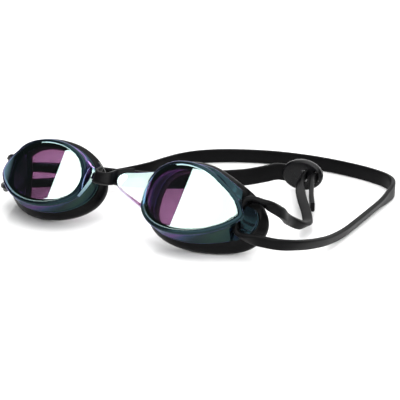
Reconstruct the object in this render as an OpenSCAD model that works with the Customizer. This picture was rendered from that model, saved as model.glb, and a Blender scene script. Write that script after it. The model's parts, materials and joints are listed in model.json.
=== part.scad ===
// Swim goggles: two moulded eyecups with mirror lenses, two soft face seals,
// a soft nose bridge, one head strap and its slide buckle.
// +Z is up and -Y is the front. The goggles stand on the lower edges of the seals,
// leaning back, with the strap loop lying behind them.

/* [Lenses] */
// Distance between the two lens centres
lens_spacing = 86; // [82:0.5:90]
// Angle that the lenses lean back, as the goggles stand
lens_lean = 34; // [30:1:38]
// Angle that each lens turns back towards the temple
lens_wrap = 6; // [3:0.5:9]
// Angle that the temple end of each lens drops
lens_roll = 2; // [0:0.5:4]
// Radius of the lens curve, seen from above
lens_curve_r = 51; // [45:1:60]
// Thickness of the lens window
lens_wall = 1.5; // [1:0.1:2]

/* [Nose bridge] */
// Height of the soft nose bridge between the two wings
bridge_height = 5.4; // [5:0.5:7]
// Thickness of the nose bridge
bridge_thick = 2.6; // [2:0.1:3]
// Thickness of the lens wings that hold it
wing_thick = 1.6; // [1.2:0.1:2]

/* [Strap] */
// Width of the strap behind the head
strap_wide = 8.6; // [8:0.1:9]
// Thickness of the strap behind the head
strap_wide_thick = 2; // [1.6:0.1:2.2]
// Width of the strap where it runs to the eyecups
strap_narrow = 4.6; // [4.4:0.1:5]
// Thickness of the strap where it runs to the eyecups
strap_narrow_thick = 2.2; // [1.8:0.1:2.4]

/* [Buckle] */
// Length of the buckle plate
buckle_length = 21; // [20.5:0.5:23]
// Height of the buckle plate
buckle_height = 15.5; // [15:0.5:17]
// Thickness of the buckle plate
buckle_thick = 4; // [3.8:0.1:4.6]

/* [Hidden] */

// The point midway between the lenses, as seen from the middle of the part's base
LENS_MIDDLE = [-8.8, -65.1, 24.25];

LENS_COLOUR = [0.25, 0.42, 0.45, 0.6];
SOFT_COLOUR = [0.05, 0.05, 0.06];
STRAP_COLOUR = [0.10, 0.10, 0.11];

// Rim outline of a lens, across (towards the temple) and up, from the lens centre
RIM = [[20, 0], [16.4, 5.6], [10, 10], [1.5, 14.2], [-8, 15.6], [-17, 14.2], [-24, 9.5],
    [-27.2, 1.5], [-25.8, -6.5], [-20.5, -12], [-12.5, -15], [-3.5, -15.2], [5.5, -12.8],
    [13, -8.6], [18, -4.2]];
RIM_STEPS = 4;
// Height of the outline against its width, used to turn a point into an angle round it
RIM_ASPECT = 0.62;

// The window stands proud of the rim outline and starts inside it
WINDOW_INSET = 1.6;
WINDOW_PROUD = 0.7;

// Where the hollow's temple end starts to close in, and how much
HOLLOW_FROM = 8;
HOLLOW_SQUEEZE = 0.36;

// Vertical strap tunnel behind the temple tip of the lens: middle, and size across and deep
TUNNEL_AT = [17.5, 8.7];
TUNNEL_SIZE = [3.6, 6];
// Half height of the bar that the tunnel leaves
BAR_HALF = 4.4;

// Nose wing: where it leaves the rim, its turn towards the front, and its outline
WING_AT = [-24.6, 8.6];
WING_TURN = 34;
WING = [[-3, 10.5], [0, 9.6], [13, 4.4], [14.4, 2.8], [15, 0.8], [14.4, -1.2], [13, -2.8],
    [0, -7.8], [-3, -9]];

// The straight run of the strap that carries the buckle
BUCKLE_AT = [47, 99.8, 9];
BUCKLE_TURN = 5;

// Slots of the buckle: how far along they sit, and their width and height
SLOT_AT = [1.6, 7.2];
SLOT_SIZE = [3, 5.8];
CHANNEL_SIZE = [15, 2.6, 9.4];

function last(v) = v[len(v) - 1];
function mix(a, b, t) = a + (b - a) * t;

// A smooth curve through points: Catmull-Rom between b and c
function bend(a, b, c, d, t) = 0.5 * (2 * b + (c - a) * t
    + (2 * a - 5 * b + 4 * c - d) * t * t + (3 * b - a - 3 * c + d) * t * t * t);
function closed_curve(p, steps) = let (n = len(p)) [for (i = [0 : n - 1], k = [0 : steps - 1])
    bend(p[(i + n - 1) % n], p[i], p[(i + 1) % n], p[(i + 2) % n], k / steps)];
function open_curve(p, steps) = let (n = len(p) - 1) concat(
    [for (i = [0 : n - 1], k = [0 : steps - 1])
        bend(p[max(i - 1, 0)], p[i], p[i + 1], p[min(i + 2, n)], k / steps)],
    [p[n]]);

OUTLINE = closed_curve(RIM, RIM_STEPS);
COUNT = len(OUTLINE);

// Direction straight out of the outline at one of its points, and the angle round it
function outward(i) = let (d = OUTLINE[(i + 1) % COUNT] - OUTLINE[(i + COUNT - 1) % COUNT])
    [d[1], -d[0]] / norm(d);
function angle_at(i) = atan2(OUTLINE[i][1] / RIM_ASPECT, OUTLINE[i][0]);

// How far back the lens surface lies, across the lens
function lens_back(x) = x * x / (2 * lens_curve_r);

// The eyecup's rear flange and the seal's outer edge: how far outside the rim outline
// they are, and how far behind the lens centre, round the outline
function flange_out(a) = 1.6 + 2 * cos(a) + 0.2 * cos(2 * a);
function flange_back(a) = 11.2 - 2.3 * cos(a) - 2.6 * sin(a) + 4 * cos(2 * a) - 1.3 * sin(2 * a);
function seal_out(a) = 3.7 + 2.8 * cos(a) + 0.6 * cos(2 * a) - 0.4 * sin(a) - 0.4 * sin(2 * a);
function seal_back(a) = 16.6 - 1.3 * cos(a) - 4 * sin(a) + 4.2 * cos(2 * a) - 1.3 * sin(2 * a);

// One ring round the eyecup: out from the outline by out, at depth back
function at(i, out, back) = let (p = OUTLINE[i] + outward(i) * out) [p[0], back, p[1]];
function squeezed(p) = [p[0] < HOLLOW_FROM ? p[0]
    : HOLLOW_FROM + (p[0] - HOLLOW_FROM) * HOLLOW_SQUEEZE, p[1], p[2]];
function rim_back(i) = lens_back(OUTLINE[i][0]);
function window_ring(scale, back) = [for (i = [0 : COUNT - 1])
    let (p = (OUTLINE[i] - outward(i) * WINDOW_INSET) * scale) [p[0], lens_back(p[0]) + back, p[1]]];
function inner_window_ring(scale) = [for (i = [0 : COUNT - 1])
    let (p = squeezed(at(i, -3.2, 0)) * scale) [p[0], lens_back(p[0]) + lens_wall, p[2]]];
function inner_wall_ring() = [for (i = [0 : COUNT - 1])
    squeezed(at(i, -2.6, mix(rim_back(i) + lens_wall, flange_back(angle_at(i)), 0.4)))];
function rim_ring(out, back) = [for (i = [0 : COUNT - 1]) at(i, out, rim_back(i) + back)];
function flange_ring(out, back) = [for (i = [0 : COUNT - 1]) let (a = angle_at(i))
    at(i, flange_out(a) + out, flange_back(a) + back)];
function skirt_ring(t, out) = [for (i = [0 : COUNT - 1]) let (a = angle_at(i))
    at(i, mix(-0.4, flange_out(a), t) + out, mix(rim_back(i) + 2, flange_back(a) - 1.8, t))];
function seal_ring(t, out, back) = [for (i = [0 : COUNT - 1]) let (a = angle_at(i))
    at(i, mix(flange_out(a), seal_out(a), t) + out,
        mix(flange_back(a), seal_back(a), t) + back)];
function squeezed_ring(ring) = [for (p = ring) squeezed(p)];

// Faces between neighbouring rings, and fans over the two end points
function ring_faces(rings, n, first) = [for (r = [0 : rings - 2], i = [0 : n - 1])
    let (j = (i + 1) % n, a = first + r * n, b = a + n) each
    [[a + i, a + j, b + j], [a + i, b + j, b + i]]];

// A solid of rings, closed by a middle point at each end
module capped_solid(rings, start, end) {
    n = len(rings[0]);
    points = concat([start], [for (r = rings) each r], [end]);
    final = 1 + (len(rings) - 1) * n;
    polyhedron(points, concat(
        [for (i = [0 : n - 1]) [0, 1 + (i + 1) % n, 1 + i]],
        ring_faces(len(rings), n, 1),
        [for (i = [0 : n - 1]) [len(points) - 1, final + i, final + (i + 1) % n]]));
}

// A ring-shaped solid: the last ring joins the first
module hoop_solid(rings) {
    n = len(rings[0]);
    m = len(rings) * n;
    points = [for (r = rings) each r];
    polyhedron(points, [for (f = ring_faces(len(rings) + 1, n, 0)) [for (v = f) v % m]]);
}

// Places a piece made in the left lens's own frame
module on_left() {
    translate(LENS_MIDDLE + [lens_spacing / 2, 0, 0])
        rotate([-lens_lean, 0, 0]) rotate([0, 0, lens_wrap]) rotate([0, lens_roll, 0]) children();
}

module on_right() {
    translate([2 * LENS_MIDDLE[0], 0, 0]) mirror([1, 0, 0]) on_left() children();
}

// Lens window, rim, skirt and rear flange in one shell, open at the back
module cup_shell() {
    capped_solid([
        window_ring(0.35, -WINDOW_PROUD),
        window_ring(0.7, -WINDOW_PROUD),
        window_ring(1, -WINDOW_PROUD),
        rim_ring(-0.6, -0.5),
        rim_ring(0, 0.2),
        rim_ring(0.1, 1.2),
        skirt_ring(0, 0),
        skirt_ring(0.5, -0.3),
        flange_ring(-0.3, -1.8),
        flange_ring(0, -1.1),
        flange_ring(0, -0.3),
        flange_ring(-0.4, 0),
        squeezed_ring(flange_ring(-2.6, 0)),
        inner_wall_ring(),
        inner_window_ring(1),
        inner_window_ring(0.6)],
        [0, -WINDOW_PROUD, 0], [0, lens_wall, 0]);
}

module nose_wing() {
    translate([WING_AT[0], WING_AT[1], 0]) rotate([0, 0, WING_TURN]) mirror([1, 0, 0])
        rotate([90, 0, 0]) linear_extrude(wing_thick, center = true) polygon(WING);
}

// Room for the strap: the tunnel itself, and the space over and under its bar
module strap_room() {
    translate([TUNNEL_AT[0], TUNNEL_AT[1], 0])
        cube([TUNNEL_SIZE[0], TUNNEL_SIZE[1], 40], center = true);
    for (side = [-1, 1])
        translate([TUNNEL_AT[0] - TUNNEL_SIZE[0] / 2, TUNNEL_AT[1] - TUNNEL_SIZE[1] / 2,
            side > 0 ? BAR_HALF : -BAR_HALF - 12])
            cube([16, TUNNEL_SIZE[1] + 1.5, 12]);
}

module eyecup() {
    difference() {
        union() {
            cup_shell();
            difference() {
                nose_wing();
                hollow_block();
            }
        }
        strap_room();
    }
}

// Fills the eyecup's hollow, so that the wing's root doesn't reach into it
module hollow_block() {
    capped_solid([
        inner_window_ring(1),
        inner_wall_ring(),
        squeezed_ring(flange_ring(-2.6, 0)),
        squeezed_ring(flange_ring(-2.6, 12))],
        [0, lens_wall, 0], [0, 36, 0]);
}

// Soft seal: a hoop from the flange out to the wide lip that rests on the face
module gasket() {
    difference() {
        seal();
        strap_room();
    }
}

module seal() {
    hoop_solid([
        seal_ring(0, -0.4, 0),
        seal_ring(0.45, 0.5, -0.6),
        seal_ring(0.85, 0.5, -0.9),
        seal_ring(1, 0, 0),
        seal_ring(1, -0.6, 1),
        seal_ring(1, -2.2, 1.5),
        seal_ring(1, -4, 1.1),
        squeezed_ring(seal_ring(0.5, -3.6, 0.8)),
        squeezed_ring(seal_ring(0, -2.6, 0))]);
}

module eyecup_left() { color(LENS_COLOUR) on_left() eyecup(); }
module eyecup_right() { color(LENS_COLOUR) on_right() eyecup(); }
module gasket_left() { color(SOFT_COLOUR) on_left() gasket(); }
module gasket_right() { color(SOFT_COLOUR) on_right() gasket(); }

// A flat bar swept along stations: each is [place, width direction, width, thickness].
// Its section is a rectangle with cut corners.
function along(s, i) = let (d = s[min(i + 1, len(s) - 1)][0] - s[max(i - 1, 0)][0]) d / norm(d);
function section(s, i) = let (
    t = along(s, i),
    raw = s[i][1] - t * (s[i][1] * t),
    w = raw / norm(raw),
    h = cross(w, t),
    a = s[i][2] / 2,
    b = s[i][3] / 2,
    c = b * 0.5)
    [for (q = [[a, b - c], [a - c, b], [c - a, b], [-a, b - c], [-a, c - b], [c - a, -b],
        [a - c, -b], [a, c - b]]) s[i][0] + w * q[0] + h * q[1]];
module swept_bar(stations) {
    rings = [for (i = [0 : len(stations) - 1]) section(stations, i)];
    capped_solid(rings, stations[0][0], last(stations)[0]);
}

// Nose bridge: [across, back from the lens middle, height, thickness], one side;
// its ends lie behind the wings
BRIDGE = [[0, -4.6, 0, 0], [2.6, -4.2, 0, -0.2], [3.8, -3, 0.2, -0.8], [4.1, -1.2, 0.4, -1],
    [4.6, 0.6, 0.6, -1], [6, 2.2, 0.8, -1], [8, 4.1, 0.8, -1.1], [10, 6.1, 0.8, -1.1]];
BRIDGE_UP = [0, 0.56, 0.83];
BRIDGE_RISE = 4;

module nose_bridge() {
    side = [for (b = BRIDGE) [[b[0], b[1], BRIDGE_RISE], BRIDGE_UP,
        bridge_height + b[2], bridge_thick + b[3]]];
    flip = [for (i = [len(side) - 1 : -1 : 1])
        [[-side[i][0][0], side[i][0][1], side[i][0][2]], side[i][1], side[i][2], side[i][3]]];
    color(SOFT_COLOUR) translate(LENS_MIDDLE) swept_bar(concat(flip, side));
}

// Route of the strap, from the tail through the buckle, round the left eyecup's bar,
// round the back, round the right eyecup's bar and to the buckle again.
// Each entry is a place [across, back, height], a width direction, and how wide it is:
// 0 where the strap is narrow, 1 where it is wide.
UP = [0, 0, 1];
FORE = [0, -0.8, 0.6];
TILT = [0.35, 0, 0.94];
TWIST = [0.6, 0, 0.8];
LIFT = [0.2, -0.5, 0.8];
ROUTE = [
    [[67, 66, 5.5], UP, 0], [[62, 76, 7], UP, 0], [[57.5, 87, 8.5], UP, 0],
    [[54.4, 95, 9], UP, 0], [[54.2, 100.5, 9], UP, 0], [[53.4, 104.2, 9], UP, 0],
    [[51.4, 105.2, 9], UP, 0], [[49.4, 104.2, 9], UP, 0], [[48.6, 100, 9], UP, 0],
    [[49, 95, 9], [0.3, 0, 1], 0], [[51.6, 87, 8.8], [0.7, 0.2, 0.7], 0],
    [[57, 75, 8.4], [0.9, 0.4, 0.4], 0], [[63, 64.5, 7.4], [0.9, 0.4, 0.3], 0],
    [[68.4, 56, 6], [0.9, 0.4, 0.3], 0], [[72.4, 48, 4.8], [0.9, 0.2, 0.3], 0],
    [[73, 40.6, 6], [0.7, 0, 0.7], 0], [[71.2, 34, 9.4], [0.3, 0, 1], 0],
    [[71.3, 28, 12.8], UP, 0], [[72, 21.9, 17.1], UP, 0], [[70.4, 16.3, 21], TWIST, 0],
    [[66.7, 13.9, 23.5], FORE, 0], [[63, 13.1, 24.1], FORE, 0],
    [[60.4, 12.1, 23.3], FORE, 0], [[59.6, 10.6, 21.2], FORE, 0],
    [[59.5, 8.3, 17.9], FORE, 0], [[59.3, 6.1, 14.6], FORE, 0],
    [[59.9, 4.6, 12.4], FORE, 0], [[62.5, 3.8, 11.2], FORE, 0],
    [[66.8, 3.2, 11], LIFT, 0], [[72, 3, 11], UP, 0],
    [[78, 5, 10.2], UP, 0], [[82.8, 11.5, 8.6], TILT, 0], [[86, 21.5, 6.4], TILT, 0],
    [[88, 34, 4.2], TILT, 0], [[88.9, 48, 2.9], TILT, 0], [[89.2, 64, 2.7], TILT, 0],
    [[89.3, 80, 2.7], TILT, 0], [[89.4, 94, 2.8], TILT, 0.1], [[89.6, 105, 3.2], UP, 0.3],
    [[89, 114, 3.7], UP, 0.6], [[86, 121.5, 3.9], UP, 0.7], [[80, 127.4, 3.9], UP, 0.7],
    [[71, 131.8, 3.9], UP, 0.7], [[60, 135, 3.9], UP, 0.7], [[46, 137.4, 3.9], UP, 0.7],
    [[31, 138, 3.9], UP, 0.7], [[16, 136.4, 3.9], UP, 0.7], [[2, 132.3, 3.9], UP, 0.7],
    [[-11, 126, 3.9], UP, 0.7], [[-21, 118, 3.9], UP, 0.7], [[-27.5, 108, 3.9], UP, 0.7],
    [[-31, 96, 3.9], UP, 0.7], [[-34.5, 83, 3.8], UP, 0.6], [[-43, 69, 3.4], UP, 0.4],
    [[-54, 57, 2.9], UP, 0.2], [[-63, 47, 2.7], UP, 0], [[-68.6, 37.4, 3.6], UP, 0],
    [[-71.8, 28.4, 5.6], UP, 0], [[-72.2, 22.4, 7.6], UP, 0], [[-72, 17.7, 8.5], UP, 0],
    [[-70.5, 12.6, 9.2], UP, 0], [[-67.3, 8.8, 10.1], LIFT, 0],
    [[-63.2, 5.8, 11.1], FORE, 0], [[-59.9, 4.6, 12.4], FORE, 0],
    [[-59.3, 6.1, 14.6], FORE, 0], [[-59.5, 8.3, 17.9], FORE, 0],
    [[-59.6, 10.6, 21.2], FORE, 0], [[-60.4, 12.1, 23.3], FORE, 0],
    [[-63, 12.8, 23.7], FORE, 0], [[-66.5, 13.5, 22.6], FORE, 0],
    [[-69.9, 15.7, 19.4], UP, 0], [[-72.2, 19.4, 16.3], UP, 0],
    [[-71.3, 24.9, 14.5], UP, 0], [[-66.7, 29, 14.3], UP, 0],
    [[-60.2, 31.4, 14.6], UP, 0.1], [[-52.5, 34.6, 14.2], UP, 0.2],
    [[-46, 37.5, 13.4], UP, 0.4],
    [[-38, 45, 11], UP, 0.7], [[-28, 52, 8.6], UP, 1], [[-16, 59, 7.4], UP, 1],
    [[-3, 67.5, 7], UP, 1], [[10, 77.5, 7], UP, 1], [[21, 87, 7], UP, 1],
    [[28, 94, 7.8], UP, 1], [[33.6, 98, 9], UP, 1], [[38, 99, 9], UP, 1],
    [[43, 99.45, 9], UP, 1]];
ROUTE_STEPS = 2;

module head_strap() {
    places = open_curve([for (r = ROUTE) r[0]], ROUTE_STEPS);
    widths = open_curve([for (r = ROUTE) r[1]], ROUTE_STEPS);
    fullness = open_curve([for (r = ROUTE) r[2]], ROUTE_STEPS);
    color(STRAP_COLOUR) translate([LENS_MIDDLE[0], LENS_MIDDLE[1], 0])
        swept_bar([for (i = [0 : len(places) - 1]) [places[i], widths[i],
            mix(strap_narrow, strap_wide, fullness[i]),
            mix(strap_narrow_thick, strap_wide_thick, fullness[i])]]);
}

// Oval plate with a channel for the wide end of the strap and two slots for the tail
module buckle() {
    half = [buckle_length, buckle_height] / 2;
    color(SOFT_COLOUR) translate([LENS_MIDDLE[0], LENS_MIDDLE[1], 0]) translate(BUCKLE_AT)
        rotate([0, 0, BUCKLE_TURN]) difference() {
            rotate([90, 0, 0]) linear_extrude(buckle_thick, center = true)
                polygon([for (a = [0 : 7.5 : 359]) [half[0] * cos(a), half[1] * sin(a)]]);
            for (x = SLOT_AT)
                translate([x, 0, 0]) cube([SLOT_SIZE[0], 10, SLOT_SIZE[1]], center = true);
            translate([-half[0], 0, 0]) cube(CHANNEL_SIZE, center = true);
            translate([half[0], 0, -1]) rotate([90, 0, 0]) cylinder(h = 10, r = 1.2, center = true, $fn = 24);
        }
}

eyecup_left();
eyecup_right();
gasket_left();
gasket_right();
nose_bridge();
head_strap();
buckle();
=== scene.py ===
"""Swim goggles: the shown pieces, materials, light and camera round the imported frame."""
import json
import math

import bmesh
import bpy
import numpy as np
from mathutils import Matrix, Vector


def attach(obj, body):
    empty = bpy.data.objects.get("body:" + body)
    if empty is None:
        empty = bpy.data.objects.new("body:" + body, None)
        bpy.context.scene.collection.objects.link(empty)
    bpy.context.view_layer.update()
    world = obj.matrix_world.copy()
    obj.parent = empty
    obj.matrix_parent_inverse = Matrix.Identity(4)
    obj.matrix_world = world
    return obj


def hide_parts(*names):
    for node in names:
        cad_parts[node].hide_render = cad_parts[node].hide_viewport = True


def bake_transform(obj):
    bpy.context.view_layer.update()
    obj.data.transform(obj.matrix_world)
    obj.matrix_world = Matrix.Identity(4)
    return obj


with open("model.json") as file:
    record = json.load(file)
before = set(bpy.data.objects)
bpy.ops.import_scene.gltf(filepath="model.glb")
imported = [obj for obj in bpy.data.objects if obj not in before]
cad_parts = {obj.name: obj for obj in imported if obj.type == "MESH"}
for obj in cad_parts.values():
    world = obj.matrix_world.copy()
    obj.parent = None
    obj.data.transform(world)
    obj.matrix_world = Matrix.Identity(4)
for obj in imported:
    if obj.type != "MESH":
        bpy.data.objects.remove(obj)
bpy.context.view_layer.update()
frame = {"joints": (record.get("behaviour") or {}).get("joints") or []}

JOINTS = {joint["name"]: joint for joint in frame["joints"]}

# Shapes are worked out in millimetres, in the same way as the CAD part's, and made in metres
MM = 0.001


# ---- sizes ------------------------------------------------------------------------------

# The nose hinge sits just in front of and over the point midway between the lenses
HINGE_FROM_MIDDLE = np.array([0, -4.6, 4])
LENS_MIDDLE = np.array(JOINTS["bridge_flex"]["pos_m"]) / MM - HINGE_FROM_MIDDLE
LENS_SPACING = 86
LENS_LEAN, LENS_WRAP, LENS_ROLL = (math.radians(a) for a in (34, 6, 2))
LENS_CURVE_R = 51
LENS_WALL = 1.5

# Rim outline of a lens, across (towards the temple) and up
RIM = [[20, 0], [16.4, 5.6], [10, 10], [1.5, 14.2], [-8, 15.6], [-17, 14.2], [-24, 9.5],
       [-27.2, 1.5], [-25.8, -6.5], [-20.5, -12], [-12.5, -15], [-3.5, -15.2], [5.5, -12.8],
       [13, -8.6], [18, -4.2]]
RIM_STEPS = 10
RIM_ASPECT = 0.62
PROFILE_STEPS = 4
WINDOW_INSET = 1.6
WINDOW_PROUD = 0.7
WINDOW_RINGS = 14
# The window's rings run between these parts of its full size, outside and inside
WINDOW_SCALES = (0.05, 0.985)
INNER_SCALES = (0.97, 0.05)
# The hollow is squeezed past this distance towards the temple, to leave room for the tunnel
HOLLOW_FROM = 8
HOLLOW_SQUEEZE = 0.36

# Strap tunnel behind the temple tip: middle and size, across and deep, and the bar it leaves
TUNNEL_AT = (17.5, 8.7)
TUNNEL_SIZE = (3.6, 6)
TUNNEL_LENGTH = 40
BAR_HALF = 4.4
# Room for the strap above and below the bar
ROOM_SIZE = (16, 7.5, 12)
CUP_CUT_ROUNDING = 0.5
CUP_SMOOTH_ANGLE = 50

# The seal stands back from the strap's way out of the tunnel, from and to a distance across
DENT_FROM, DENT_TO, DENT_DEPTH = 13.0, 17.5, 13.8
SEAL_STEPS = 4

# Nose wing: where it starts, its turn towards the nose, and its outline, along and up
WING_AT = (-24.6, 8.6)
WING_TURN = math.radians(34)
WING_THICK = 1.6
WING_STEPS = 5
WING_ROUNDING = 0.35
WING_SMOOTH_ANGLE = 35
WING = [[0.6, 9.4], [7, 6.6], [12.2, 4.6], [14.4, 2.8], [15, 0.8], [14.4, -1.2], [12.4, -2.8],
        [7, -5.2], [0.6, -7.6]]

# Nose bridge, from its middle to one end: across, back, height and thickness
BRIDGE = [[0, -4.6, 5.4, 2.6], [2.6, -4.2, 5.4, 2.4], [3.8, -3, 5.6, 1.8], [4.1, -1.2, 5.8, 1.6],
          [4.6, 0.6, 6, 1.6], [6, 2.2, 6.2, 1.6], [8, 4.1, 6.2, 1.5], [10, 6.1, 6.2, 1.5]]
BRIDGE_UP = (0, 0.56, 0.83)
BRIDGE_RISE = 4
BRIDGE_STEPS = 5

# Buckle: an upright oval plate with two slots for the tail and a channel for the wide end
BUCKLE_AT = (47, 99.8, 9)
BUCKLE_TURN = math.radians(5)
BUCKLE_HALF = (10.5, 7.75)
BUCKLE_STEPS = 96
# Its profile: part of its full size, and distance along its thickness
BUCKLE_PROFILE = [(0.5, -1.95), (0.84, -2), (0.93, -1.75), (0.985, -1.1), (1.0, -0.3), (1.0, 0.3),
                  (0.985, 1.1), (0.93, 1.75), (0.84, 2), (0.5, 1.95)]
SLOT_AT = (1.6, 7.2)
SLOT_SIZE = (3, 10, 5.8)
CHANNEL_SIZE = (15, 2.6, 9.4)
BUCKLE_CUT_ROUNDING = 0.3
BUCKLE_SMOOTH_ANGLE = 40

# The strap's width and thickness where it is narrow and where it is wide
STRAP_NARROW, STRAP_WIDE = (4.6, 2.2), (8.6, 2)
CORNER_STEPS = 3
CORNER_PART = 0.32
BAND_SMOOTH_ANGLE = 60

# Width directions of the strap
UP = (0, 0, 1)
FORE = (0, -0.8, 0.6)
TILT = (0.35, 0, 0.94)
TWIST = (0.6, 0, 0.8)
LIFT = (0.2, -0.5, 0.8)

# Route of the strap in three parts, each entry a place across from and behind the lens middle
# and over the floor, a width direction, and how wide the strap is, from narrow (0) to wide (1).
# TAIL runs from the loose end through the buckle to the left bar, BACK from there round the
# back to the right bar, and FRONT from there to the buckle.
TAIL = [
    ((67, 66, 5.5), UP, 0), ((62, 76, 7), UP, 0), ((57.5, 87, 8.5), UP, 0),
    ((54.4, 95, 9), UP, 0), ((54.2, 100.5, 9), UP, 0), ((53.4, 104.2, 9), UP, 0),
    ((51.4, 105.2, 9), UP, 0), ((49.4, 104.2, 9), UP, 0), ((48.6, 100, 9), UP, 0),
    ((49, 95, 9), (0.3, 0, 1), 0), ((51.6, 87, 8.8), (0.7, 0.2, 0.7), 0),
    ((57, 75, 8.4), (0.9, 0.4, 0.4), 0), ((63, 64.5, 7.4), (0.9, 0.4, 0.3), 0),
    ((68.4, 56, 6), (0.9, 0.4, 0.3), 0), ((72.4, 48, 4.8), (0.9, 0.2, 0.3), 0),
    ((73, 40.6, 6), (0.7, 0, 0.7), 0), ((71.2, 34, 9.4), (0.3, 0, 1), 0),
    ((71.3, 28, 12.8), UP, 0), ((72, 21.9, 17.1), UP, 0), ((70.4, 16.3, 21), TWIST, 0),
    ((66.7, 13.9, 23.5), FORE, 0), ((63, 13.1, 24.1), FORE, 0),
    ((60.4, 12.1, 23.3), FORE, 0), ((59.6, 10.6, 21.2), FORE, 0), ((59.5, 8.3, 17.9), FORE, 0)]
BACK = [
    ((59.5, 8.3, 17.9), FORE, 0), ((59.3, 6.1, 14.6), FORE, 0),
    ((59.9, 4.6, 12.4), FORE, 0), ((62.5, 3.8, 11.2), FORE, 0),
    ((66.8, 3.2, 11), LIFT, 0), ((72, 3, 11), UP, 0),
    ((78, 5, 10.2), UP, 0), ((82.8, 11.5, 8.6), TILT, 0), ((86, 21.5, 6.4), TILT, 0),
    ((88, 34, 4.2), TILT, 0), ((88.9, 48, 2.9), TILT, 0), ((89.2, 64, 2.7), TILT, 0),
    ((89.3, 80, 2.7), TILT, 0), ((89.4, 94, 2.8), TILT, 0.1), ((89.6, 105, 3.2), UP, 0.3),
    ((89, 114, 3.7), UP, 0.6), ((86, 121.5, 3.9), UP, 0.7), ((80, 127.4, 3.9), UP, 0.7),
    ((71, 131.8, 3.9), UP, 0.7), ((60, 135, 3.9), UP, 0.7), ((46, 137.4, 3.9), UP, 0.7),
    ((31, 138, 3.9), UP, 0.7), ((16, 136.4, 3.9), UP, 0.7), ((2, 132.3, 3.9), UP, 0.7),
    ((-11, 126, 3.9), UP, 0.7), ((-21, 118, 3.9), UP, 0.7), ((-27.5, 108, 3.9), UP, 0.7),
    ((-31, 96, 3.9), UP, 0.7), ((-34.5, 83, 3.8), UP, 0.6), ((-43, 69, 3.4), UP, 0.4),
    ((-54, 57, 2.9), UP, 0.2), ((-63, 47, 2.7), UP, 0), ((-68.6, 37.4, 3.6), UP, 0),
    ((-71.8, 28.4, 5.6), UP, 0), ((-71.8, 22.4, 7.6), UP, 0), ((-70.6, 17.7, 8.5), UP, 0),
    ((-68.4, 12.6, 9.2), UP, 0), ((-65.9, 8.8, 10.1), LIFT, 0),
    ((-62.7, 6, 11.1), FORE, 0), ((-59.9, 4.6, 12.4), FORE, 0),
    ((-59.3, 6.1, 14.6), FORE, 0), ((-59.5, 8.3, 17.9), FORE, 0)]
FRONT = [
    ((-59.5, 8.3, 17.9), FORE, 0), ((-59.6, 10.6, 21.2), FORE, 0),
    ((-60.4, 12.1, 23.3), FORE, 0), ((-62.6, 13.2, 23.7), FORE, 0),
    ((-65.2, 14.6, 22.6), FORE, 0), ((-68.6, 17.4, 19.4), UP, 0),
    ((-70.8, 20.9, 16.3), UP, 0), ((-70.6, 25.6, 14.5), UP, 0), ((-66.7, 29, 14.3), UP, 0),
    ((-60.2, 31.4, 14.6), UP, 0.1), ((-52.5, 34.6, 14.2), UP, 0.2), ((-46, 37.5, 13.4), UP, 0.4),
    ((-38, 45, 11), UP, 0.7), ((-28, 52, 8.6), UP, 1), ((-16, 59, 7.4), UP, 1),
    ((-3, 67.5, 7), UP, 1), ((10, 77.5, 7), UP, 1), ((21, 87, 7), UP, 1),
    ((28, 94, 7.8), UP, 1), ((33.6, 98, 9), UP, 1), ((38, 99, 9), UP, 1), ((43, 99.45, 9), UP, 1)]
ROUTE_STEPS = 6
# Entry of the front route at which the strap is split into its front piece and its bow piece
BOW_FROM = 14


# ---- curves and lofts -------------------------------------------------------------------

def bend(a, b, c, d, t):
    """Catmull-Rom from b to c."""
    return 0.5 * (2 * b + (c - a) * t + (2 * a - 5 * b + 4 * c - d) * t ** 2
                  + (3 * b - a - 3 * c + d) * t ** 3)


def closed_curve(points, steps):
    """A smooth closed curve through the points, as points with steps to each span."""
    p, n = np.array(points, float), len(points)
    return np.array([bend(p[i - 1], p[i], p[(i + 1) % n], p[(i + 2) % n], k / steps)
                     for i in range(n) for k in range(steps)])


def open_curve(points, steps):
    """A smooth curve from the first point to the last."""
    p, n = np.array(points, float), len(points) - 1
    made = [bend(p[max(i - 1, 0)], p[i], p[i + 1], p[min(i + 2, n)], k / steps)
            for i in range(n) for k in range(steps)]
    return np.array(made + [p[n]])


def loft(rings, closed=False):
    """Points and faces of a skin over equal rings, with a fan over each end, or a hoop."""
    n, count = len(rings[0]), len(rings)
    points = [p for row in rings for p in row]
    spans = count if closed else count - 1
    faces = []
    for r in range(spans):
        a, b = r * n, ((r + 1) % count) * n
        faces += [(a + i, a + (i + 1) % n, b + (i + 1) % n, b + i) for i in range(n)]
    if not closed:
        points += [np.mean(rings[0], axis=0), np.mean(rings[-1], axis=0)]
        start, end, last = len(points) - 2, len(points) - 1, (count - 1) * n
        faces += [(start, (i + 1) % n, i) for i in range(n)]
        faces += [(end, last + i, last + (i + 1) % n) for i in range(n)]
    return points, faces


def make_mesh(name, points, faces, materials, face_material=None):
    """A smooth-shaded mesh in metres from points in millimetres."""
    mesh = bpy.data.meshes.new(name)
    mesh.from_pydata([tuple(np.array(p) * MM) for p in points], [], faces)
    for material in materials:
        mesh.materials.append(material)
    if face_material is not None:
        mesh.polygons.foreach_set("material_index", face_material)
    mesh.polygons.foreach_set("use_smooth", [True] * len(mesh.polygons))
    mesh.update()
    piece = bpy.data.objects.new(name, mesh)
    bpy.context.scene.collection.objects.link(piece)
    return piece


def outward_normals(piece):
    """Turns the whole mesh's faces outward."""
    bm = bmesh.new()
    bm.from_mesh(piece.data)
    bmesh.ops.recalc_face_normals(bm, faces=bm.faces)
    bm.to_mesh(piece.data)
    bm.free()


def apply_modifiers(piece):
    """Leaves the mesh as its modifiers make it."""
    graph = bpy.context.evaluated_depsgraph_get()
    made = bpy.data.meshes.new_from_object(piece.evaluated_get(graph))
    piece.modifiers.clear()
    piece.data = made


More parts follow.
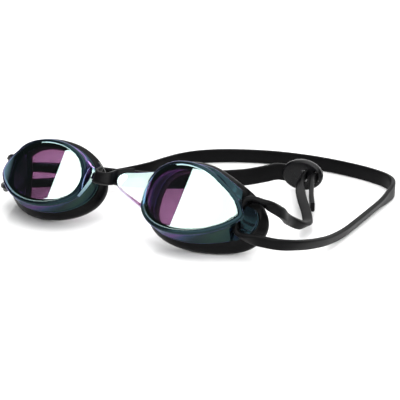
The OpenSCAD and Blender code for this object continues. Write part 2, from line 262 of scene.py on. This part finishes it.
BEVEL_SEGMENTS = 3
BEVEL_ANGLE = math.radians(30)


def round_edges(piece, width):
    """Rounds the edges sharper than the bevel angle."""
    bevel = piece.modifiers.new("bevel", "BEVEL")
    bevel.width = width * MM
    bevel.segments = BEVEL_SEGMENTS
    bevel.limit_method = "ANGLE"
    bevel.angle_limit = BEVEL_ANGLE
    apply_modifiers(piece)


def sharpen(piece, angle):
    """Smooth shading, except over edges sharper than the angle."""
    piece.data.set_sharp_from_angle(angle=math.radians(angle))


def box_cutter(centre, size, place, material, rounding):
    """A box with rounded edges, in a piece's own frame, to cut away with."""
    half, ends = np.array(size) / 2, (-1, 1)
    corners = [np.array(centre) + half * (x, y, z) for x in ends for y in ends for z in ends]
    faces = [(0, 1, 3, 2), (4, 6, 7, 5), (0, 4, 5, 1), (2, 3, 7, 6), (0, 2, 6, 4), (1, 5, 7, 3)]
    cutter = make_mesh("cutter", [place(c) for c in corners], faces, [material])
    outward_normals(cutter)
    round_edges(cutter, rounding)
    return cutter


# A cut that leaves fewer faces than this part, or makes the piece longer, went wrong
LEAST_FACES = 0.5
MOST_GROWTH = 1.001


def cut(piece, cutters):
    """Takes the cutters' shapes away from the piece, and removes the cutters."""
    before, size = len(piece.data.polygons), max(piece.dimensions)
    for cutter in cutters:
        boolean = piece.modifiers.new("cut", "BOOLEAN")
        boolean.operation = "DIFFERENCE"
        boolean.solver = "EXACT"
        boolean.material_mode = "TRANSFER"
        boolean.object = cutter
        apply_modifiers(piece)
        bpy.data.objects.remove(cutter)
    bpy.context.view_layer.update()
    lost = len(piece.data.polygons) < before * LEAST_FACES
    if lost or max(piece.dimensions) > size * MOST_GROWTH:
        raise RuntimeError("a cut went wrong on " + piece.name)


# ---- materials --------------------------------------------------------------------------

def new_material(name):
    """A material with no nodes yet, with its nodes and links."""
    material = bpy.data.materials.new(name)
    material.use_nodes = True
    nodes, links = material.node_tree.nodes, material.node_tree.links
    nodes.clear()
    return material, nodes, links


NOISE_DETAIL = 3


def noise(nodes, links, scale):
    """Soft noise over the piece, from 0 to 1; its features are about 1 / scale metres across."""
    place = nodes.new("ShaderNodeTexCoord")
    texture = nodes.new("ShaderNodeTexNoise")
    texture.inputs["Scale"].default_value = scale
    texture.inputs["Detail"].default_value = NOISE_DETAIL
    links.new(place.outputs["Object"], texture.inputs["Vector"])
    return texture.outputs["Fac"]


def ramp(nodes, links, factor, stops):
    """A colour for each value of the factor, between the stops (place, colour)."""
    made = nodes.new("ShaderNodeValToRGB")
    elements = made.color_ramp.elements
    while len(elements) < len(stops):
        elements.new(0.5)
    for element, (place, colour) in zip(elements, stops):
        element.position = place
        element.color = (*colour, 1)
    links.new(factor, made.inputs["Fac"])
    return made.outputs["Color"]


def grey(value):
    """The colour of a single brightness, also used for a plain value."""
    return (value, value, value)


def uneven(nodes, links, patches, low, high):
    """A colour that wanders between two over the piece, as the noise in patches does."""
    return ramp(nodes, links, patches, [(0.3, low), (0.7, high)])


TONE_SCALE = 60
ROUGHNESS_SPREAD = 0.05
RELIEF = 0.12
RELIEF_DEPTH = 0.00005


def soft_material(name, dark, light, roughness, gloss, grain):
    """Satin black silicone or plastic: slightly uneven in tone, gloss and surface."""
    material, nodes, links = new_material(name)
    shader = nodes.new("ShaderNodeBsdfPrincipled")
    out = nodes.new("ShaderNodeOutputMaterial")
    patches = noise(nodes, links, TONE_SCALE)
    links.new(uneven(nodes, links, patches, dark, light), shader.inputs["Base Color"])
    smooth, rough = grey(roughness - ROUGHNESS_SPREAD), grey(roughness + ROUGHNESS_SPREAD)
    links.new(uneven(nodes, links, patches, smooth, rough), shader.inputs["Roughness"])
    shader.inputs["Specular IOR Level"].default_value = gloss
    bump = nodes.new("ShaderNodeBump")
    bump.inputs["Strength"].default_value = RELIEF
    bump.inputs["Distance"].default_value = RELIEF_DEPTH
    links.new(noise(nodes, links, grain), bump.inputs["Height"])
    links.new(bump.outputs["Normal"], shader.inputs["Normal"])
    links.new(shader.outputs["BSDF"], out.inputs["Surface"])
    return material


# Mirror coat of the lenses, and of their rims: colour and strength, from face-on to grazing
COAT_COLOUR = [(0.0, (0.80, 1.0, 0.93)), (0.35, (0.62, 0.95, 0.92)), (0.6, (0.35, 0.62, 0.85)),
               (0.8, (0.62, 0.35, 0.85)), (1.0, (0.9, 0.85, 0.95))]
COAT_STRENGTH = [(0.0, grey(0.36)), (0.5, grey(0.46)), (1.0, grey(0.95))]
RIM_COLOUR = [(0.0, (0.05, 0.28, 0.36)), (0.22, (0.03, 0.2, 0.24)), (0.36, (0.1, 0.34, 0.22)),
              (0.5, (0.04, 0.16, 0.22)), (0.62, (0.12, 0.25, 0.6)), (0.72, (0.45, 0.2, 0.75)),
              (0.84, (0.1, 0.2, 0.3)), (1.0, (0.7, 0.75, 0.9))]
RIM_STRENGTH = [(0.0, grey(0.04)), (0.5, grey(0.09)), (1.0, grey(0.8))]
SMUDGE_SCALE = 90
SMUDGES = [(0.35, grey(0.01)), (0.75, grey(0.03))]


def coat(nodes, links, colour, strength):
    """The mirror coat's own gloss, with faint smudges, and how strong it is."""
    facing = nodes.new("ShaderNodeLayerWeight")
    gloss = nodes.new("ShaderNodeBsdfAnisotropic")
    links.new(ramp(nodes, links, facing.outputs["Facing"], colour), gloss.inputs["Color"])
    smudge = noise(nodes, links, SMUDGE_SCALE)
    links.new(ramp(nodes, links, smudge, SMUDGES), gloss.inputs["Roughness"])
    return gloss.outputs["BSDF"], ramp(nodes, links, facing.outputs["Facing"], strength)


def coated_material(name, under, colour, coat_strength):
    """A material of the shader that the function under makes, below the mirror coat."""
    material, nodes, links = new_material(name)
    shader = under(nodes, links)
    gloss, strength = coat(nodes, links, colour, coat_strength)
    layers = nodes.new("ShaderNodeMixShader")
    out = nodes.new("ShaderNodeOutputMaterial")
    links.new(strength, layers.inputs["Fac"])
    links.new(shader.outputs["BSDF"], layers.inputs[1])
    links.new(gloss, layers.inputs[2])
    links.new(layers.outputs["Shader"], out.inputs["Surface"])
    return material


TINT_SCALE = 40
TINT_LOW, TINT_HIGH = (0.64, 0.39, 0.58), (0.69, 0.43, 0.63)
SHELL_SCALE = 50
SHELL_LOW, SHELL_HIGH = (0.002, 0.004, 0.006), (0.005, 0.009, 0.012)
SHELL_ROUGHNESS = 0.25
SHELL_GLOSS = 0.1


def clear_under(nodes, links):
    """Purple see-through plastic."""
    shader = nodes.new("ShaderNodeBsdfTransparent")
    tint = uneven(nodes, links, noise(nodes, links, TINT_SCALE), TINT_LOW, TINT_HIGH)
    links.new(tint, shader.inputs["Color"])
    return shader


def dark_under(nodes, links):
    """Nearly black opaque plastic."""
    shader = nodes.new("ShaderNodeBsdfPrincipled")
    shader.inputs["Roughness"].default_value = SHELL_ROUGHNESS
    shader.inputs["Specular IOR Level"].default_value = SHELL_GLOSS
    tone = uneven(nodes, links, noise(nodes, links, SHELL_SCALE), SHELL_LOW, SHELL_HIGH)
    links.new(tone, shader.inputs["Base Color"])
    return shader


LENS = coated_material("mirrored_lens", clear_under, COAT_COLOUR, COAT_STRENGTH)
SHELL = coated_material("mirrored_shell", dark_under, RIM_COLOUR, RIM_STRENGTH)
SILICONE = soft_material("black_silicone", dark=(0.0015, 0.0015, 0.0017),
                         light=(0.003, 0.003, 0.0034), roughness=0.36, gloss=0.08, grain=900)
STRAP_SKIN = soft_material("strap_silicone", dark=(0.0012, 0.0012, 0.0014),
                           light=(0.0028, 0.0028, 0.0032), roughness=0.38, gloss=0.07, grain=900)
PLASTIC = soft_material("black_plastic", dark=(0.0015, 0.0015, 0.002),
                        light=(0.003, 0.003, 0.0036), roughness=0.28, gloss=0.2, grain=1400)


# ---- eyecups and seals ------------------------------------------------------------------

OUTLINE = closed_curve(RIM, RIM_STEPS)
ALONG = np.roll(OUTLINE, -1, 0) - np.roll(OUTLINE, 1, 0)
OUTWARD = np.stack([ALONG[:, 1], -ALONG[:, 0]], 1) / np.linalg.norm(ALONG, axis=1)[:, None]
# How far out from the rim outline, and how far back, the flange and the seal's lip are: sums
# of waves that go once (C1, S1) and twice (C2, S2) round
ANGLE = np.arctan2(OUTLINE[:, 1] / RIM_ASPECT, OUTLINE[:, 0])
C1, S1, C2, S2 = np.cos(ANGLE), np.sin(ANGLE), np.cos(2 * ANGLE), np.sin(2 * ANGLE)
FLANGE_OUT = 1.6 + 2 * C1 + 0.2 * C2
FLANGE_BACK = 11.2 - 2.3 * C1 - 2.6 * S1 + 4 * C2 - 1.3 * S2
SEAL_OUT = 3.7 + 2.8 * C1 + 0.6 * C2 - 0.4 * S1 - 0.4 * S2
SEAL_BACK = 16.6 - 1.3 * C1 - 4 * S1 + 4.2 * C2 - 1.3 * S2


def lens_back(across):
    """How far the lens curves back at a distance across."""
    return across ** 2 / (2 * LENS_CURVE_R)


def ring(out, back):
    """A ring outside the rim outline by out, at depth back: across, back, up."""
    p = OUTLINE + OUTWARD * np.broadcast_to(out, ANGLE.shape)[:, None]
    return np.stack([p[:, 0], np.broadcast_to(back, ANGLE.shape), p[:, 1]], 1)


RIM_BACK = lens_back(OUTLINE[:, 0])
# The skirt starts this far inside and behind the rim, and ends this far in front of the flange
SKIRT_START_OUT, SKIRT_START_BACK, SKIRT_END_FRONT = -0.4, 2, 1.8
INNER_INSET = 3.2


def mix(a, b, t):
    """From a (t = 0) to b (t = 1)."""
    return a + (b - a) * t


def squeezed(points):
    """The points, drawn in on the temple side to leave room for the tunnel."""
    p = np.array(points)
    far = p[:, 0] > HOLLOW_FROM
    p[far, 0] = HOLLOW_FROM + (p[far, 0] - HOLLOW_FROM) * HOLLOW_SQUEEZE
    return p


def window_ring(scale, back):
    """A ring of the window's outside, at a part of its full size."""
    p = (OUTLINE - OUTWARD * WINDOW_INSET) * scale
    return np.stack([p[:, 0], lens_back(p[:, 0]) + back, p[:, 1]], 1)


def inner_window_ring(scale):
    """A ring of the window's inside, at a part of its full size."""
    p = squeezed(ring(-INNER_INSET, 0)) * scale
    return np.stack([p[:, 0], lens_back(p[:, 0]) + LENS_WALL, p[:, 2]], 1)


def seal_ring(t, out, back):
    """A ring t of the way from the flange to the seal's lip, moved out and back."""
    return ring(mix(FLANGE_OUT, SEAL_OUT, t) + out, mix(FLANGE_BACK, SEAL_BACK, t) + back)


def skirt_ring(t, out):
    """A ring t of the way down the skirt from the rim to the flange, moved out."""
    start, end = RIM_BACK + SKIRT_START_BACK, FLANGE_BACK - SKIRT_END_FRONT
    return ring(mix(SKIRT_START_OUT, FLANGE_OUT, t) + out, mix(start, end, t))


def smooth_rings(rings, steps, closed=False):
    """More rings between the given ones, on smooth curves across them."""
    flat = np.array(rings).reshape(len(rings), -1)
    made = closed_curve(flat, steps) if closed else open_curve(flat, steps)
    return list(made.reshape(len(made), -1, 3))


TURN = (Matrix.Rotation(-LENS_LEAN, 3, "X") @ Matrix.Rotation(LENS_WRAP, 3, "Z")
        @ Matrix.Rotation(LENS_ROLL, 3, "Y"))


def cup_place(side):
    """From a lens's own frame to the row's, on the left (1) or right (-1)."""
    turn = np.array(TURN)

    def place(p):
        q = turn @ np.array(p, float) + (LENS_SPACING / 2, 0, 0)
        return LENS_MIDDLE + q * (side, 1, 1)
    return place


def cup_profile():
    """Rings round the eyecup from the window's edge, over the rim and flange, to the inside."""
    return smooth_rings([
        # step down from the window to the groove inside the rim
        window_ring(1.0, -WINDOW_PROUD + 0.12),
        window_ring(1.008, -WINDOW_PROUD + 0.35),
        # rim
        ring(-1.3, RIM_BACK - 0.25),
        ring(-0.5, RIM_BACK - 0.25),
        ring(0, RIM_BACK + 0.3),
        ring(0.1, RIM_BACK + 1.2),
        # skirt
        skirt_ring(0.05, 0),
        skirt_ring(0.5, -0.3),
        # flange
        ring(FLANGE_OUT - 0.3, FLANGE_BACK - 1.8),
        ring(FLANGE_OUT, FLANGE_BACK - 1.1),
        ring(FLANGE_OUT, FLANGE_BACK - 0.3),
        ring(FLANGE_OUT - 0.4, FLANGE_BACK),
        # hollow
        squeezed(ring(FLANGE_OUT - 2.6, FLANGE_BACK)),
        squeezed(ring(-2.6, mix(RIM_BACK + LENS_WALL, FLANGE_BACK, 0.4))),
        inner_window_ring(1)], PROFILE_STEPS)


def strap_room(place):
    """Cutters for the strap tunnel, and for the room above and below the bar."""
    across, back = TUNNEL_AT
    wide, deep = TUNNEL_SIZE
    cutters = [box_cutter((across, back, 0), (wide, deep, TUNNEL_LENGTH), place, SHELL,
                          CUP_CUT_ROUNDING)]
    for up in (-1, 1):
        centre = (across - wide / 2 + ROOM_SIZE[0] / 2, back - deep / 2 + ROOM_SIZE[1] / 2,
                  up * (BAR_HALF + ROOM_SIZE[2] / 2))
        cutters.append(box_cutter(centre, ROOM_SIZE, place, SHELL, CUP_CUT_ROUNDING))
    return cutters


def eyecup(side, name):
    """Window, rim, skirt, flange and hollow; the window see-through, the shell opaque."""
    place = cup_place(side)
    front = [window_ring(s, -WINDOW_PROUD) for s in np.linspace(*WINDOW_SCALES, WINDOW_RINGS)]
    shell = cup_profile()
    inside = [inner_window_ring(s) for s in np.linspace(*INNER_SCALES, WINDOW_RINGS)]
    rings = front + shell + inside
    points, faces = loft(rings)
    n = len(OUTLINE)
    shell_from, shell_to = len(front), len(front) + len(shell) - 1
    index = [1 if shell_from <= k // n < shell_to else 0 for k in range((len(rings) - 1) * n)]
    index += [0] * (len(faces) - len(index))
    cup = make_mesh(name, [place(p) for p in points], faces, [LENS, SHELL], index)
    outward_normals(cup)
    cut(cup, strap_room(place))
    sharpen(cup, CUP_SMOOTH_ANGLE)
    return cup


def nose_wing(side, name):
    """A flat plate that reaches forward from the cup to the nose bridge."""
    place = cup_place(side)
    outline = open_curve(WING, WING_STEPS)
    cos, sin = math.cos(WING_TURN), math.sin(WING_TURN)

    def spot(a, t, b):
        return place((-a * cos - t * sin + WING_AT[0], -a * sin + t * cos + WING_AT[1], b))
    n, half = len(outline), WING_THICK / 2
    points = [spot(a, -half, b) for a, b in outline] + [spot(a, half, b) for a, b in outline]
    faces = [tuple(range(n)), tuple(range(2 * n - 1, n - 1, -1))]
    faces += [(i, n + i, n + (i + 1) % n, (i + 1) % n) for i in range(n)]
    wing = make_mesh(name, points, faces, [LENS])
    outward_normals(wing)
    round_edges(wing, WING_ROUNDING)
    sharpen(wing, WING_SMOOTH_ANGLE)
    return wing


def dented(points):
    """The points, moved back where the strap passes in front of the seal."""
    p = np.array(points)
    t = np.clip((p[:, 0] - DENT_FROM) / (DENT_TO - DENT_FROM), 0, 1)
    t = t * t * (3 - 2 * t)
    p[:, 1] += t * np.maximum(DENT_DEPTH - p[:, 1], 0)
    return p


def gasket(side, name):
    """Face seal: a hoop from the flange out to a rounded lip, and back inside."""
    place = cup_place(side)
    rings = smooth_rings([
        seal_ring(0, -0.4, 0.1),
        seal_ring(0.2, 0.15, -0.3),
        seal_ring(0.5, 0.5, -0.7),
        seal_ring(0.85, 0.5, -0.9),
        seal_ring(1, 0, 0),
        seal_ring(1, -0.6, 1),
        seal_ring(1, -2.2, 1.5),
        seal_ring(1, -4, 1.1),
        squeezed(seal_ring(0.5, -3.6, 0.8)),
        squeezed(seal_ring(0, -2.6, 0.1))], SEAL_STEPS, closed=True)
    points, faces = loft([dented(r) for r in rings], closed=True)
    seal = make_mesh(name, [place(p) for p in points], faces, [SILICONE])
    outward_normals(seal)
    return seal


# ---- strap, bridge and buckle -----------------------------------------------------------

def rounded_section(width, thick):
    """A flat section with rounded corners: distances along the width and the thickness."""
    r = thick * CORNER_PART
    a, b = width / 2 - r, thick / 2 - r
    made = []
    for x, y, first in ((a, b, 0), (-a, b, 90), (-a, -b, 180), (a, -b, 270)):
        for k in range(CORNER_STEPS + 1):
            turn = math.radians(first + 90 * k / CORNER_STEPS)
            made.append((x + r * math.cos(turn), y + r * math.sin(turn)))
    return made


def swept(name, places, directions, sizes, material):
    """A flat bar along places, with its width in the directions."""
    rings = []
    for i, centre in enumerate(places):
        along = places[min(i + 1, len(places) - 1)] - places[max(i - 1, 0)]
        along = along / np.linalg.norm(along)
        across = directions[i] - along * (directions[i] @ along)
        across = across / np.linalg.norm(across)
        through = np.cross(across, along)
        rings.append([centre + across * u + through * v for u, v in rounded_section(*sizes[i])])
    points, faces = loft(rings)
    bar = make_mesh(name, points, faces, [material])
    outward_normals(bar)
    sharpen(bar, BAND_SMOOTH_ANGLE)
    return bar


def strap(name, route, first=0, last=None):
    """The strap along a route, or from one of its entries to another."""
    places = open_curve([r[0] for r in route], ROUTE_STEPS) + (LENS_MIDDLE[0], LENS_MIDDLE[1], 0)
    directions = open_curve([r[1] for r in route], ROUTE_STEPS)
    fullness = open_curve([[r[2]] for r in route], ROUTE_STEPS)[:, 0]
    sizes = [(mix(STRAP_NARROW[0], STRAP_WIDE[0], f), mix(STRAP_NARROW[1], STRAP_WIDE[1], f))
             for f in fullness]
    part = slice(first * ROUTE_STEPS, None if last is None else last * ROUTE_STEPS + 1)
    return swept(name, places[part], directions[part], sizes[part], STRAP_SKIN)


def nose_bridge():
    """The band between the wings, made from its one side and that side's mirror image."""
    side = [((b[0], b[1], BRIDGE_RISE), b[2], b[3]) for b in BRIDGE]
    flip = [((-p[0], p[1], p[2]), h, t) for p, h, t in side[:0:-1]]
    route = flip + side
    places = open_curve([r[0] for r in route], BRIDGE_STEPS) + LENS_MIDDLE
    sizes = open_curve([[r[1], r[2]] for r in route], BRIDGE_STEPS)
    return swept("nose_band", places, [np.array(BRIDGE_UP)] * len(places), sizes, SILICONE)


def buckle():
    """An oval plate with slightly hollow faces and rounded edges, two slots and a channel."""
    turn = Matrix.Rotation(BUCKLE_TURN, 3, "Z")
    origin = np.array(BUCKLE_AT) + (LENS_MIDDLE[0], LENS_MIDDLE[1], 0)
    wide, high = BUCKLE_HALF

    def place(p):
        return origin + np.array(turn @ Vector(p))
    angles = np.linspace(0, 2 * math.pi, BUCKLE_STEPS, endpoint=False)
    rings = [[(wide * s * math.cos(a), back, high * s * math.sin(a)) for a in angles]
             for s, back in BUCKLE_PROFILE]
    points, faces = loft(rings)
    plate = make_mesh("buckle_plate", [place(p) for p in points], faces, [PLASTIC])
    outward_normals(plate)
    holes = [((x, 0, 0), SLOT_SIZE) for x in SLOT_AT] + [((-wide, 0, 0), CHANNEL_SIZE)]
    cut(plate, [box_cutter(centre, size, place, PLASTIC, BUCKLE_CUT_ROUNDING)
                for centre, size in holes])
    sharpen(plate, BUCKLE_SMOOTH_ANGLE)
    return plate


# ---- putting the rigid pieces on their bodies, and making the strap and bridge ----------

def settle(piece, body, node):
    """Puts a rigid piece on its body, in place of a CAD node."""
    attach(piece, body)
    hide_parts(node)


for side, body, hand in ((1, "left_side", "left"), (-1, "right_side", "right")):
    settle(eyecup(side, "cup_" + hand), body, "eyecup_" + hand)
    settle(nose_wing(side, "wing_" + hand), body, "eyecup_" + hand)
    settle(gasket(side, "seal_" + hand), body, "gasket_" + hand)

settle(buckle(), "strap_buckle", "buckle")


# The back strand whole, and the front strand up to the entry BOW_FROM
for name, route, last in (("strap_back", BACK, None), ("strap_front", FRONT, BOW_FROM)):
    band = strap(name, route, 0, last)
    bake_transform(band)
    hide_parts("head_strap")

bow = strap("strap_bow", FRONT, BOW_FROM)
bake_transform(bow)
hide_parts("head_strap")

tail = strap("strap_tail", TAIL)
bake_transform(tail)
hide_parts("head_strap")

band = nose_bridge()
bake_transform(band)
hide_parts("nose_bridge")


# ---- floor, light and camera ------------------------------------------------------------

FLOOR_HALF = 6000
FLOOR_SCALE = 4
FLOOR_LOW, FLOOR_HIGH = grey(0.86), grey(0.9)
FLOOR_ROUGHNESS = 0.12
FLOOR_IOR = 1.35


def floor():
    """A plain glossy white floor."""
    h = FLOOR_HALF
    points = [(-h, -h, 0), (h, -h, 0), (h, h, 0), (-h, h, 0)]
    material, nodes, links = new_material("white_floor")
    shader = nodes.new("ShaderNodeBsdfPrincipled")
    out = nodes.new("ShaderNodeOutputMaterial")
    tone = uneven(nodes, links, noise(nodes, links, FLOOR_SCALE), FLOOR_LOW, FLOOR_HIGH)
    links.new(tone, shader.inputs["Base Color"])
    shader.inputs["Roughness"].default_value = FLOOR_ROUGHNESS
    shader.inputs["IOR"].default_value = FLOOR_IOR
    links.new(shader.outputs["BSDF"], out.inputs["Surface"])
    plane = make_mesh("floor", points, [(0, 1, 2, 3)], [material])


def direction(azimuth, elevation):
    """Unit vector; azimuth 0 is to the front (-Y) and grows towards +X."""
    a, e = math.radians(azimuth), math.radians(elevation)
    return Vector((math.sin(a) * math.cos(e), -math.cos(a) * math.cos(e), math.sin(e)))


def area_light(name, centre, x_way, y_way, size, radiance):
    """A rectangle of light across x_way and y_way that shines the way opposite their normal."""
    light = bpy.data.lights.new(name, "AREA")
    light.shape = "RECTANGLE"
    light.size, light.size_y = size
    light.energy = radiance * math.pi * size[0] * size[1]
    lamp = bpy.data.objects.new(name, light)
    turn = Matrix((x_way, y_way, x_way.cross(y_way))).transposed()
    lamp.matrix_world = Matrix.Translation(centre) @ turn.to_4x4()
    bpy.context.scene.collection.objects.link(lamp)


# The white panel that shows in the lenses, in metres: a point on its left edge from the lens
# middle, and the way that edge runs; the panel turns about the edge towards the front
PANEL_CORNER = Vector((-0.0985, -0.1515, 0.1048))
PANEL_EDGE = Vector((0.308, 0.256, 0.916)).normalized()
PANEL_TURN = math.radians(42)
PANEL_SIZE = (0.8, 0.75)
PANEL_RADIANCE = 3.4


def front_panel():
    """Gives the lenses their white part, with its slanting edge."""
    level = Vector((1, 0, 0))
    level = (level - PANEL_EDGE * level.dot(PANEL_EDGE)).normalized()
    across = (Matrix.Rotation(-PANEL_TURN, 3, PANEL_EDGE) @ level).normalized()
    centre = Vector(LENS_MIDDLE) * MM + PANEL_CORNER
    centre += across * PANEL_SIZE[0] / 2 + PANEL_EDGE * PANEL_SIZE[1] / 2
    area_light("front_panel", centre, across, PANEL_EDGE, PANEL_SIZE, PANEL_RADIANCE)


SIDE_AZIMUTH, SIDE_ELEVATION = 62, 37
SIDE_DISTANCE = 0.9
SIDE_SIZE = (0.6, 0.5)
SIDE_RADIANCE = 2.6


def side_panel():
    """Shows in the near nose wing, and along the temple."""
    back = direction(SIDE_AZIMUTH, SIDE_ELEVATION)
    azimuth = math.radians(SIDE_AZIMUTH)
    level = Vector((math.cos(azimuth), math.sin(azimuth), 0))
    area_light("side_panel", Vector(LENS_MIDDLE) * MM + back * SIDE_DISTANCE, level,
               back.cross(level), SIDE_SIZE, SIDE_RADIANCE)


TOP_AT, TOP_SIZE, TOP_RADIANCE = Vector((0, 0.6, 1.5)), (3.2, 2.4), 2.6
BACK_AT, BACK_SIZE, BACK_RADIANCE = Vector((-0.3, 2.4, 0.8)), (5.0, 1.6), 1.3


def wide_panels():
    """One over the floor, and one that stands out of view behind it and keeps it white."""
    along = Vector((1, 0, 0))
    area_light("top_panel", TOP_AT, along, Vector((0, 1, 0)), TOP_SIZE, TOP_RADIANCE)
    area_light("back_panel", BACK_AT, along, Vector((0, 0, -1)), BACK_SIZE, BACK_RADIANCE)


# The room's tone by the height of a direction, from level (0) to straight up (1)
ROOM_TONE = [(0.10, grey(0.85)), (0.26, grey(0.016))]


def studio():
    """A dark room with a pale wall low down all round."""
    world = bpy.data.worlds.new("studio")
    world.use_nodes = True
    nodes, links = world.node_tree.nodes, world.node_tree.links
    place = nodes.new("ShaderNodeTexCoord")
    split = nodes.new("ShaderNodeSeparateXYZ")
    links.new(place.outputs["Generated"], split.inputs["Vector"])
    shade = ramp(nodes, links, split.outputs["Z"], ROOM_TONE)
    links.new(shade, nodes["Background"].inputs["Color"])
    bpy.context.scene.world = world
    bpy.context.scene.view_settings.view_transform = "Standard"


# Camera: its place from the lens middle, and the direction of its back, away from its view
CAMERA_FROM_MIDDLE = Vector((225.0, -314.2, 123.9))
CAMERA_AZIMUTH, CAMERA_ELEVATION = 29.75, 18.81
CAMERA_LENS, CAMERA_SENSOR = 85, 36
CAMERA_CLIP = (0.01, 50)


def camera():
    """Level, at the photograph's viewing angle."""
    data = bpy.data.cameras.new("camera")
    data.sensor_width = CAMERA_SENSOR
    data.lens = CAMERA_LENS
    data.clip_start, data.clip_end = CAMERA_CLIP
    shot = bpy.data.objects.new("camera", data)
    azimuth = math.radians(CAMERA_AZIMUTH)
    back = direction(CAMERA_AZIMUTH, CAMERA_ELEVATION)
    right = Vector((math.cos(azimuth), math.sin(azimuth), 0))
    turn = Matrix((right, back.cross(right), back)).transposed()
    place = (Vector(LENS_MIDDLE) + CAMERA_FROM_MIDDLE) * MM
    shot.matrix_world = Matrix.Translation(place) @ turn.to_4x4()
    bpy.context.scene.collection.objects.link(shot)
    bpy.context.scene.camera = shot


floor()
front_panel()
side_panel()
wide_panels()
studio()
camera()
